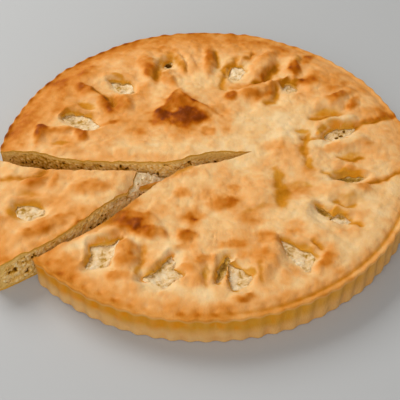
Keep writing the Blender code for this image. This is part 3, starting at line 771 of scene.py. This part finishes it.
def baked_values(mesh, pressed):
    """Stores on each point how brown it is, how much ochre it takes from folds and from painted shade, and
    how near the baked skin it lies.
    """
    x, y, z = points_of(mesh).T
    radius, angle = np.hypot(x, y), np.arctan2(y, x)
    on_side = smooth_step(radius, 157.5, 159.5) * (1 - smooth_step(z, 22, 24.5))
    brown = browning(x, y) * (1 - on_side) + side_browning(angle, z) * on_side
    sheltered = shelter(x, y) * (1 - smooth_step(radius, 150, 156))
    # The right front faces away from the window light: the groove inside its lip and its side take more
    # painted shade
    right_front = smooth_step(np.cos(angle + 0.75), 0.6, 0.98)
    groove = np.exp(-((radius - 155.2) / 1.6) ** 2) * (0.15 + 0.7 * right_front)
    between_flutes = 0.5 - 0.5 * np.cos(FLUTES * angle)
    # The side's ochre: golden under the lip, with painted shade between the flutes
    under_lip = on_side * (0.34 + 0.08 * right_front + 0.1 * between_flutes + 0.6 * golden(angle, z))
    on_lip = smooth_step(radius, 153.5, 158) * smooth_step(z, 20, 23) * (0.2 + 0.15 * at_front_left(angle))
    sheltered = np.maximum(sheltered, np.maximum(groove, np.maximum(under_lip, on_lip)))
    depth = np.minimum(skin_height(x, y, pressed) - z, PIE_RADIUS - radius)
    skin = 1 - smooth_step(np.minimum(depth, z), 0.3, 2.2)
    store(mesh, brown=brown, sheltered=sheltered, skin=skin)


def smooth_shaded(mesh, sharp_above):
    mesh.shade_smooth()
    mesh.set_sharp_from_angle(angle=math.radians(sharp_above))


def new_material(name):
    made = bpy.data.materials.new(name)
    made.use_nodes = True
    return made, made.node_tree.nodes, made.node_tree.links


def add_node(nodes, kind, **values):
    """A node with its plain settings, and with its input values where the name is a socket's."""
    node = nodes.new(kind)
    for name, value in values.items():
        if name in node.inputs:
            node.inputs[name].default_value = value
        else:
            setattr(node, name, value)
    return node


def colours_along(nodes, links, factor, stops):
    """A colour that follows the factor through the given stops."""
    node = nodes.new("ShaderNodeValToRGB")
    elements = node.color_ramp.elements
    for index, (place, colour) in enumerate([stops[0], stops[-1], *stops[1:-1]]):
        element = elements[index] if index < 2 else elements.new(place)
        element.position = place
        element.color = (*colour, 1)
    links.new(factor, node.inputs["Fac"])
    return node.outputs["Color"]


def mixed_colours(nodes, links, factor, first, second=None):
    """A node that gives the first colour where the factor is 0 and the second where it is 1."""
    node = add_node(nodes, "ShaderNodeMix", data_type="RGBA")
    links.new(factor, node.inputs["Factor"])
    links.new(first, node.inputs[6])
    if second:
        links.new(second, node.inputs[7])
    return node


def stored_value(nodes, name):
    return add_node(nodes, "ShaderNodeAttribute", attribute_name=name).outputs["Fac"]


def scaled_sum(nodes, links, first, second, factor):
    """first plus second times factor."""
    node = add_node(nodes, "ShaderNodeMath", operation="MULTIPLY_ADD")
    links.new(second, node.inputs[0])
    node.inputs[1].default_value = factor
    links.new(first, node.inputs[2])
    return node.outputs[0]


def solid_texture(nodes, links, kind, where, scale, **values):
    node = add_node(nodes, kind, **values)
    links.new(where.outputs["Object"], node.inputs["Vector"])
    links.new(scale, node.inputs["Scale"])
    return node


def fine_grain_group():
    """Fine mottling and pores: puts out a value to add to a colour factor, and a height."""
    group = bpy.data.node_groups.new("fine_grain", "ShaderNodeTree")
    for socket, default in (("Size", 4.0), ("Pore Size", 1.2)):
        made = group.interface.new_socket(socket, in_out="INPUT", socket_type="NodeSocketFloat")
        made.default_value = default
    for socket in ("Mottle", "Height"):
        group.interface.new_socket(socket, in_out="OUTPUT", socket_type="NodeSocketFloat")
    nodes, links = group.nodes, group.links
    given = nodes.new("NodeGroupInput")
    result = nodes.new("NodeGroupOutput")
    where = nodes.new("ShaderNodeTexCoord")
    scales = []
    for label in ("Size", "Pore Size"):
        divide = add_node(nodes, "ShaderNodeMath", operation="DIVIDE")
        divide.inputs[0].default_value = 1 / MM
        links.new(given.outputs[label], divide.inputs[1])
        scales.append(divide.outputs[0])
    coarse, fine = scales
    mottle = solid_texture(nodes, links, "ShaderNodeTexNoise", where, coarse, Detail=5, Roughness=0.62)
    centred = add_node(nodes, "ShaderNodeMath", operation="SUBTRACT")
    centred.inputs[1].default_value = 0.5
    links.new(mottle.outputs["Fac"], centred.inputs[0])
    links.new(centred.outputs[0], result.inputs["Mottle"])
    pores = solid_texture(
        nodes, links, "ShaderNodeTexVoronoi", where, fine, feature="SMOOTH_F1", Smoothness=0.6)
    flecks = solid_texture(nodes, links, "ShaderNodeTexNoise", where, fine, Detail=3)
    summed = scaled_sum(nodes, links, pores.outputs["Distance"], flecks.outputs["Fac"], 1)
    with_bumps = scaled_sum(nodes, links, summed, centred.outputs[0], 4)
    links.new(with_bumps, result.inputs["Height"])
    return group


fine_grain = fine_grain_group()


def placed_grain(nodes, size, pore_size):
    node = nodes.new("ShaderNodeGroup")
    node.node_tree = fine_grain
    node.inputs["Size"].default_value = size
    node.inputs["Pore Size"].default_value = pore_size
    return node


def finished(nodes, links, colour, grain, bump_strength, bump_depth, values):
    """Joins the colour and the grain's bumps to the material's shader, and sets its plain values."""
    shader = nodes["Principled BSDF"]
    links.new(colour, shader.inputs["Base Color"])
    for name, value in values.items():
        shader.inputs[name].default_value = value
    bump = add_node(nodes, "ShaderNodeBump", Strength=bump_strength, Distance=bump_depth)
    links.new(grain.outputs["Height"], bump.inputs["Height"])
    links.new(bump.outputs["Normal"], shader.inputs["Normal"])
    return shader


def browned_dough_material():
    """The buttered skin: pale to dark brown by its baking, yellowish to ochre where it lay tucked in folds
    and where shade is painted in creases, in hollows and on flanks.
    """
    material, nodes, links = new_material("browned_dough")
    grain = placed_grain(nodes, 3.5, 1.1)
    uneven = scaled_sum(nodes, links, stored_value(nodes, "brown"), grain.outputs["Mottle"], 0.11)
    baked = colours_along(nodes, links, uneven, [
        (0.0, (0.86, 0.61, 0.32)), (0.20, (0.84, 0.505, 0.21)), (0.35, (0.80, 0.39, 0.125)),
        (0.50, (0.72, 0.29, 0.060)), (0.62, (0.61, 0.20, 0.020)), (0.75, (0.47, 0.115, 0.001)),
        (0.88, (0.29, 0.054, 0.0)), (1.0, (0.18, 0.030, 0.0)),
    ])
    # The ochre used both for the yellowish folds and for painted shade
    yellowish = colours_along(nodes, links, uneven, [
        (0.0, (0.72, 0.245, 0.004)), (0.12, (0.64, 0.285, 0.024)),
        (0.4, (0.57, 0.206, 0.003)), (0.8, (0.33, 0.105, 0.0)),
    ])
    mixed = mixed_colours(nodes, links, stored_value(nodes, "sheltered"), baked, yellowish)
    shader = finished(nodes, links, mixed.outputs[2], grain, 0.4, 0.0004, {
        "Specular IOR Level": 0.12,
        "Specular Tint": (1, 0.5, 0.12, 1),
        "Subsurface Weight": 0.08,
        "Subsurface Radius": (1, 0.45, 0.15),
        "Subsurface Scale": 0.002,
    })
    gloss = nodes.new("ShaderNodeMapRange")
    for name, value in (("From Min", 0.1), ("From Max", 0.9), ("To Min", 0.62), ("To Max", 0.45)):
        gloss.inputs[name].default_value = value
    links.new(uneven, gloss.inputs["Value"])
    links.new(gloss.outputs["Result"], shader.inputs["Roughness"])
    return material


def cut_dough_material():
    """Dough inside its skin: paler, matt and full of small holes."""
    material, nodes, links = new_material("cut_dough")
    grain = placed_grain(nodes, 2.0, 0.9)
    spread = add_node(nodes, "ShaderNodeMath", operation="ADD")
    spread.inputs[1].default_value = 0.5
    links.new(grain.outputs["Mottle"], spread.inputs[0])
    holes = [(0.3, (0.68, 0.38, 0.07)), (0.7, (0.92, 0.62, 0.22))]
    inside = colours_along(nodes, links, spread.outputs[0], holes)
    mixed = mixed_colours(nodes, links, stored_value(nodes, "skin"), inside)
    mixed.inputs[7].default_value = (0.68, 0.33, 0.02, 1)
    finished(nodes, links, mixed.outputs[2], grain, 0.6, 0.0006, {
        "Roughness": 0.75,
        "Specular IOR Level": 0.2,
        "Specular Tint": (1, 0.7, 0.35, 1),
    })
    return material


browned_dough = browned_dough_material()
cut_dough = cut_dough_material()


def lined(mesh):
    """Gives a mesh the baked skin's material first and the cut dough's second."""
    mesh.materials.append(browned_dough)
    mesh.materials.append(cut_dough)


def cutter_marked(mesh):
    """Gives a cutter's faces the second material, which the cut surface then takes."""
    lined(mesh)
    mesh.polygons.foreach_set("material_index", np.ones(len(mesh.polygons), np.int32))
    return mesh


# Where the cuts meet, the knife went through dough alone: the filling lies deeper there
DEEPER = 6
DEEPER_AT = (22, 0, 60, 30, 0)


def hollow_mesh(name, pressed=False, swell=0.0):
    """The hollow of the dough, or the filling in it where swell makes it a little fuller."""
    mesh = turned(name, hollow_profile(), FLUTES * 4)

    def rule(x, y, z):
        radius = np.hypot(x, y)
        on_top = smooth_step(z, 14, 20)
        lift = broad_relief(x, y) * (1 - smooth_step(radius, 130, 150))
        lift = lift - DEEPER * oval(x, y, *DEEPER_AT)
        if pressed:
            lift = lift + pressed_tip(x, y)
        outward_share = (radius + swell * smooth_step(radius, 140, 155)) / np.maximum(radius, 1e-6)
        up = swell * (on_top - (1 - smooth_step(z, 3.2, 6)))
        return x * outward_share, y * outward_share, z + lift * on_top + up
    move_points(mesh, rule)
    return mesh


def vent_cutters(name):
    work = bmesh.new()
    levels = np.linspace(12, 45, 26)
    for index, edge in enumerate(VENT_EDGES):
        piece = roughened(upright(f"{name}_{index}", edge, levels), knife_drag)
        work.from_mesh(piece)
        bpy.data.meshes.remove(piece)
    mesh = bpy.data.meshes.new(name)
    work.to_mesh(mesh)
    work.free()
    return cutter_marked(mesh)


# The heights at which a knife cut's wall has points
WALL_LEVELS = np.concatenate([[-10, -2], np.arange(0, 34, 0.7), [45]])


def knife_cuts(spacing):
    """The far and the near cut, each as a curve from past the rim to where they meet."""
    return [curve_through(cut + [CUTS_MEET], spacing) for cut in (FAR_CUT, NEAR_CUT)]


def notch_outline(spacing):
    far, near = knife_cuts(spacing)
    return far + near[::-1][1:]


def baked_dough(name, steps, pressed=False):
    """A whole pie's dough, carved by the steps, with its baking stored on it."""
    mesh = turned(name, crust_profile())
    lined(mesh)
    move_points(mesh, dough_form(pressed))
    mesh = carved(mesh, steps)
    baked_values(mesh, pressed)
    smooth_shaded(mesh, DOUGH_SHARP_ABOVE)
    return mesh


notch = cutter_marked(roughened(upright("notch", notch_outline(1.0), WALL_LEVELS), knife_drag))
dough = baked_dough("pie_dough", [
    (cutter_marked(hollow_mesh("hollow")), "DIFFERENCE"),
    (vent_cutters("vents"), "DIFFERENCE"),
    (notch, "DIFFERENCE"),
])
pie_dough = shown("pie_dough", dough, PIE_PLACE, [browned_dough, cut_dough])
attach(pie_dough, "root")
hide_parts("pie_crust")

# The pie's cheese filling
# Curd cheese crumbled and baked inside the dough. It fills the hollow, shows at the vents, and
# breaks into crumbs and pits where the knife went through it.


def grains(x, y, z, size, seed):
    """How far each point lies from the middle of its grain, from 0 to about 1, and the grain's shade."""
    draw = np.random.default_rng(seed)
    offsets, shades = draw.uniform(0, 1, (16, 16, 16, 3)), draw.uniform(0, 1, (16, 16, 16))
    where = np.stack([x, y, z], 1) / size
    cells = np.floor(where).astype(int)
    nearest, shade = np.full(len(where), 9.0), np.zeros(len(where))
    for corner in range(27):
        cell = cells + np.array([corner % 3 - 1, corner // 3 % 3 - 1, corner // 9 - 1])
        index = tuple((cell % 16).T)
        away = np.linalg.norm(where - cell - offsets[index], axis=1)
        shade = np.where(away < nearest, shades[index], shade)
        nearest = np.minimum(nearest, away)
    return np.clip(nearest, 0, 1), shade


COARSE_GRAIN = 3.4
FINE_GRAIN = 1.7


def crumbs(x, y, z):
    """The coarse and the fine grains of the cheese: how far out of each, squared, and their shades."""
    coarse, coarse_shade = grains(x, y, z, COARSE_GRAIN, 81)
    fine, fine_shade = grains(x, y, z, FINE_GRAIN, 82)
    return coarse ** 2, fine ** 2, coarse_shade, fine_shade


def deep_pits(x, y, z):
    return smooth_step(swells(x, y, z, 2.6, 84), 0.35, 0.75)


def cracks(x, y, z):
    """1 along the fine cracks that wander over the open cheese."""
    return np.exp(-(swells(x, y, z, 6, 96) / 0.2) ** 2)


def crumbly(x, y, z):
    """How far the knife tore into the cut cheese: round grains with creases and pits between them."""
    coarse, fine, shade = crumbs(x, y, z)[:3]
    push = 1.2 * coarse + 1.1 * fine + 0.7 * shade - 1.3 + 1.8 * deep_pits(x, y, z)
    return push * smooth_step(np.hypot(x - CUTS_MEET[0], y - CUTS_MEET[1]), 4, 20)


# Holes in the filling at the vents, sunk and painted dark as shade: x, y, width, depth
PITS = [(-31, 116, 2.8, 5), (107, 22, 1.5, 1.6), (103.5, 20, 1.3, 1.4), (110, 28, 1, 1)]

# Where the filling in the vents is baked brownish, and where it is painted darker as shade in narrow slots
# and under lips: x, y, length, width, turn in degrees, strength
BROWNED_AND_SHADED_FILLING = [
    (12, -114, 30, 9, 72, 0.75), (86, -61, 16, 8, -50, 0.8), (98, -66, 12, 5, -30, 0.6),
    (107, -28, 30, 12, 0, 0.75), (106, 30, 26, 5, 3, 0.5), (27, -118, 14, 5, -50, 0.5),
    (-32, -114, 16, 5, 45, 0.6), (20, 110, 14, 6, 40, 0.5), (-80, -102, 5, 16, 0, 0.5),
    (-31, 115, 10, 14, 0, 0.6), (106, 25, 26, 12, 3, 0.42),
]


# The outer end of the far cut, where the filling is browner: x, y, length, width, turn in degrees
BROWNER_END = (-118, 0, 90, 30, 0)


def filled_values(mesh, open_outlines, pressed):
    """Stores how dark each point is, from baking and from painted shade in its pits, between its grains,
    along its cracks, in the vents' holes and under the vents' lips; how pale it is; and its grain's shade.
    """
    x, y, z = points_of(mesh).T
    pale = np.zeros_like(x)
    lip_shadow = np.zeros_like(x)
    for outline in open_outlines:
        outside, out_x, out_y = away_from(outline, x, y)
        pale = np.maximum(pale, 1 - smooth_step(outside, 0, 4))
        along_edge = 1 - smooth_step(np.abs(outside), 0.3, 2.0)
        lip_shadow = np.maximum(lip_shadow, faces_back(out_x, out_y) * along_edge)
    top = TOP_HEIGHT - TOP_DOUGH + broad_relief(x, y)
    if pressed:
        top = top + pressed_tip(x, y)
    pale = pale * smooth_step(z, top - 9, top - 1)
    lip_shadow = lip_shadow * smooth_step(z, top - 4, top - 1)
    coarse, fine, _, shade = crumbs(x, y, z)
    # Painted shade between the grains and in the deep pits
    pit = 0.5 * fine + 0.45 * coarse + 0.9 * deep_pits(x, y, z) - 0.2
    creamy = 0.18 + 0.30 * swells(x, y, z, 6, 93) + 0.22 * swells(x, y, z, 3, 94)
    # Darker along the cracks, as painted shade
    creamy = creamy + 0.22 * cracks(x, y, z)
    if pressed:
        at_tip = smooth_step(x, -52, -34)
        pit = pit - 0.25 * at_tip
        creamy = creamy + (pit + 0.25 - creamy) * at_tip
    pit = pit + 0.28 * oval(x, y, *BROWNER_END)
    pit = np.clip(pit + (creamy - pit) * 0.8 * pale, 0, 1)
    for *place, strength in BROWNED_AND_SHADED_FILLING:
        pit = np.maximum(pit, strength * oval(x, y, *place))
    # Painted shadow on the cheese just under the far lip of each vent
    pit = np.maximum(pit, 0.5 * lip_shadow)
    # The holes at the vents are painted nearly black, as shade
    for pit_x, pit_y, width, _ in PITS:
        pit = np.maximum(pit, 2 * oval(x, y, pit_x, pit_y, 2 * width, 2 * width, 0))
    store(mesh, pale=pale, pit=pit, shade=shade)


# The crumbs that lie heaped on the slice's open tip: x, y, length, width, turn in degrees, and height
HEAPED_CRUMBS = (-16, -8, 26, 16, 20)
CRUMBS_HEIGHT = 4


def finer_where_open(mesh, open_outlines):
    """Splits the filling's faces where no dough covers them, so that they can be broken up into grains."""
    for _ in range(2):
        centres = np.empty(len(mesh.polygons) * 3)
        mesh.polygons.foreach_get("center", centres)
        x, y, z = centres.reshape(-1, 3).T
        nearest = np.full_like(x, 99)
        for outline in open_outlines:
            nearest = np.minimum(nearest, away_from(outline, x, y)[0])
        chosen = (nearest < 2) & (z > 5)
        work = bmesh.new()
        work.from_mesh(mesh)
        work.faces.ensure_lookup_table()
        edges = {edge for index in np.flatnonzero(chosen) for edge in work.faces[index].edges}
        bmesh.ops.subdivide_edges(work, edges=list(edges), cuts=1, use_grid_fill=True)
        work.to_mesh(mesh)
        work.free()


def risen_where_open(open_outlines):
    """The filling wells up a little where no dough covers it, and its surface there is rough."""
    def rule(x, y, z):
        rise = np.zeros_like(x)
        for outline in open_outlines:
            outside, out_x, out_y = away_from(outline, x, y)
            near_side = smooth_step(-0.85 * out_y + 0.5 * out_x, -0.3, 0.6)
            near_edge = 1 - smooth_step(-outside, 0, 6)
            rise = np.maximum(rise, (1 - smooth_step(outside, -1, 2)) * (0.8 + 1.6 * near_side * near_edge))
        coarse, fine = crumbs(x, y, z)[:2]
        rough = 0.4 - 0.3 * coarse - 0.3 * fine + 1.1 * swells(x, y, z, 5, 92)
        rough = rough + 0.5 * swells(x, y, z, 2.6, 95) - 0.5 * cracks(x, y, z)
        rough = rough + oval(x, y, *HEAPED_CRUMBS) * (CRUMBS_HEIGHT + 1.2 * swells(x, y, z, 3, 97))
        for pit_x, pit_y, width, depth in PITS:
            rough = rough - depth * oval(x, y, pit_x, pit_y, 2 * width, 2 * width, 0)
        return x, y, z + smooth_step(z, 4.5, 8) * np.minimum(rise, 1) * (0.8 * np.maximum(rise, 1) + rough)
    return rule


def cheese_material():
    """Baked curd: pale where it lay open at a vent, tan at the cuts, brownish where it baked so, and
    darkened to brown by painted shade in its pits, between its grains and under the vents' lips.
    """
    material, nodes, links = new_material("cheese")
    grain = placed_grain(nodes, 1.6, 0.8)
    own = scaled_sum(nodes, links, stored_value(nodes, "pit"), stored_value(nodes, "shade"), 0.25)
    uneven = scaled_sum(nodes, links, own, grain.outputs["Mottle"], 0.36)
    cut_face = colours_along(nodes, links, uneven, [
        (0.0, (0.96, 0.73, 0.38)), (0.3, (0.82, 0.49, 0.13)),
        (0.58, (0.52, 0.235, 0.010)), (1.0, (0.09, 0.03, 0.0)),
    ])
    fresh = colours_along(nodes, links, uneven, [
        (0.0, (0.94, 0.77, 0.52)), (0.4, (0.80, 0.56, 0.29)),
        (0.7, (0.48, 0.25, 0.03)), (1.0, (0.16, 0.06, 0.001)),
    ])
    mixed = mixed_colours(nodes, links, stored_value(nodes, "pale"), cut_face, fresh)
    finished(nodes, links, mixed.outputs[2], grain, 0.5, 0.0005, {
        "Roughness": 0.75,
        "Specular IOR Level": 0.2,
        "Specular Tint": (1, 0.8, 0.5, 1),
        "Subsurface Weight": 0.15,
        "Subsurface Radius": (1, 0.7, 0.4),
        "Subsurface Scale": 0.002,
    })
    return material


CHEESE_SHARP_ABOVE = 60
FULLER_BY = 0.25


def crumbled_cheese(name, open_outlines, cutter, operation, pressed=False):
    """A whole pie's filling, risen where it lies open, cut by the cutter, with its look stored on it."""
    mesh = hollow_mesh(name, pressed, FULLER_BY)
    finer_where_open(mesh, open_outlines)
    move_points(mesh, risen_where_open(open_outlines))
    mesh = carved(mesh, [(cutter, operation)])
    filled_values(mesh, open_outlines, pressed)
    smooth_shaded(mesh, CHEESE_SHARP_ABOVE)
    return mesh


cheese = cheese_material()
rough_notch = roughened(upright("rough_notch", notch_outline(0.7), WALL_LEVELS), crumbly)
filling = crumbled_cheese("pie_cheese", VENT_EDGES, rough_notch, "DIFFERENCE")
pie_cheese = shown("pie_cheese", filling, PIE_PLACE, [cheese])
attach(pie_cheese, "root")
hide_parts("pie_filling")

# The slice's dough
# The same dough between the same two cuts, drawn out of the pie. The top of its tip is torn away,
# all but a strip along the near cut, and the knife pressed the tip down.
# SLICE_SHIFT is how far the slice is drawn out. TORN_OFF is where the dough is gone from its tip.
SLICE_SHIFT = (-27.4, -9.4)
SLICE_PLACE = (PIE_PLACE[0] + SLICE_SHIFT[0], PIE_PLACE[1] + SLICE_SHIFT[1])
SLICE_TIP = (-3, -5)
TORN_OFF = [
    (-24, 8), (-25, -6), (-26, -14), (-29, -22), (-32, -29), (-38, -36), (-42, -42),
    (-36, -44), (-29, -31), (-25, -24), (-17, -15.5), (-8, -9.5), (10, -8), (25, -6), (25, 8),
]


def wedge_outline(spacing):
    far, near = knife_cuts(spacing)
    far = [point for point in far if point[0] < SLICE_TIP[0] - 4]
    near = [point for point in near if point[0] < SLICE_TIP[0] - 12]
    tip = curve_through([far[-1], SLICE_TIP, near[-1]], spacing)[1:-1]
    return far + tip + near[::-1]


torn = cutter_marked(upright("torn_tip", torn_edge(TORN_OFF), np.linspace(6, 45, 30)))
wedge = cutter_marked(roughened(upright("wedge", wedge_outline(1.0), WALL_LEVELS), knife_drag))
slice_form = baked_dough("slice_dough", [
    (cutter_marked(hollow_mesh("slice_hollow", True)), "DIFFERENCE"),
    (vent_cutters("slice_vents"), "DIFFERENCE"),
    (torn, "DIFFERENCE"),
    (wedge, "INTERSECT"),
], True)
slice_dough = shown("slice_dough", slice_form, SLICE_PLACE, [browned_dough, cut_dough])
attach(slice_dough, "root")
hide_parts("slice_crust")

# The slice's cheese filling
# The same cheese, cut on both sides. At the tip it lies open, crumbled and paler, where the dough
# over it was torn away.
rough_wedge = upright("rough_wedge", wedge_outline(0.7), WALL_LEVELS)
roughened(rough_wedge, lambda x, y, z: -crumbly(x, y, z))
slice_open = VENT_EDGES + [torn_edge(TORN_OFF)]
slice_filling = crumbled_cheese("slice_cheese", slice_open, rough_wedge, "INTERSECT", True)
slice_cheese = shown("slice_cheese", slice_filling, SLICE_PLACE, [cheese])
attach(slice_cheese, "root")
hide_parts("slice_filling")

# The floor, the light and the camera
# A plain pale surface under a large soft window light from behind on the left, seen from above in
# front at the photograph's angle.
FLOOR_SIZE = 8
FLOOR_COLOUR = (0.46, 0.468, 0.475, 1)
FLOOR_ROUGHNESS = 0.7
ROOM_COLOUR = (1, 0.985, 0.96, 1)
ROOM_STRENGTH = 0.29

bpy.ops.mesh.primitive_plane_add(size=FLOOR_SIZE)
floor = bpy.context.object
floor.name = "floor"
floor_paint, floor_nodes = new_material("pale_floor")[:2]
floor_nodes["Principled BSDF"].inputs["Base Color"].default_value = FLOOR_COLOUR
floor_nodes["Principled BSDF"].inputs["Roughness"].default_value = FLOOR_ROUGHNESS
floor.data.materials.append(floor_paint)

middle = Vector((PIE_PLACE[0] * MM, PIE_PLACE[1] * MM, 0))


def add_window(name, place, size, power, colour):
    data = bpy.data.lights.new(name, "AREA")
    data.shape = "SQUARE"
    data.size = size
    data.energy = power
    data.color = colour
    lamp = placed(name, data)
    lamp.location = middle + Vector(place)
    lamp.rotation_euler = Vector(place).to_track_quat("Z", "Y").to_euler()


add_window("window_light", (-1.0, 1.0, 1.2), 1.0, 27, (1, 0.985, 0.95))
add_window("room_light", (-0.2, -1.4, 1.1), 1.8, 17, (1, 0.98, 0.95))
world = bpy.data.worlds.new("soft_room")
bpy.context.scene.world = world
world.use_nodes = True
world.node_tree.nodes["Background"].inputs["Color"].default_value = ROOM_COLOUR
world.node_tree.nodes["Background"].inputs["Strength"].default_value = ROOM_STRENGTH

CAMERA_PLACE = (0, -0.545, 0.5284)
LOOKS_DOWN = 45.427
TURNED_LEFT = 0.473
ROLLED = 0.767
LENS = 86.4
camera_data = bpy.data.cameras.new("camera")
camera_data.lens = LENS
camera_data.sensor_width = 36
camera = placed("camera", camera_data)
heading = Matrix.Rotation(math.radians(TURNED_LEFT), 4, "Z")
tilt = Matrix.Rotation(math.radians(90 - LOOKS_DOWN), 4, "X")
roll = Matrix.Rotation(math.radians(-ROLLED), 4, "Z")
camera.matrix_world = Matrix.Translation(middle + Vector(CAMERA_PLACE)) @ heading @ tilt @ roll
bpy.context.scene.camera = camera
bpy.context.scene.view_settings.view_transform = "Standard"
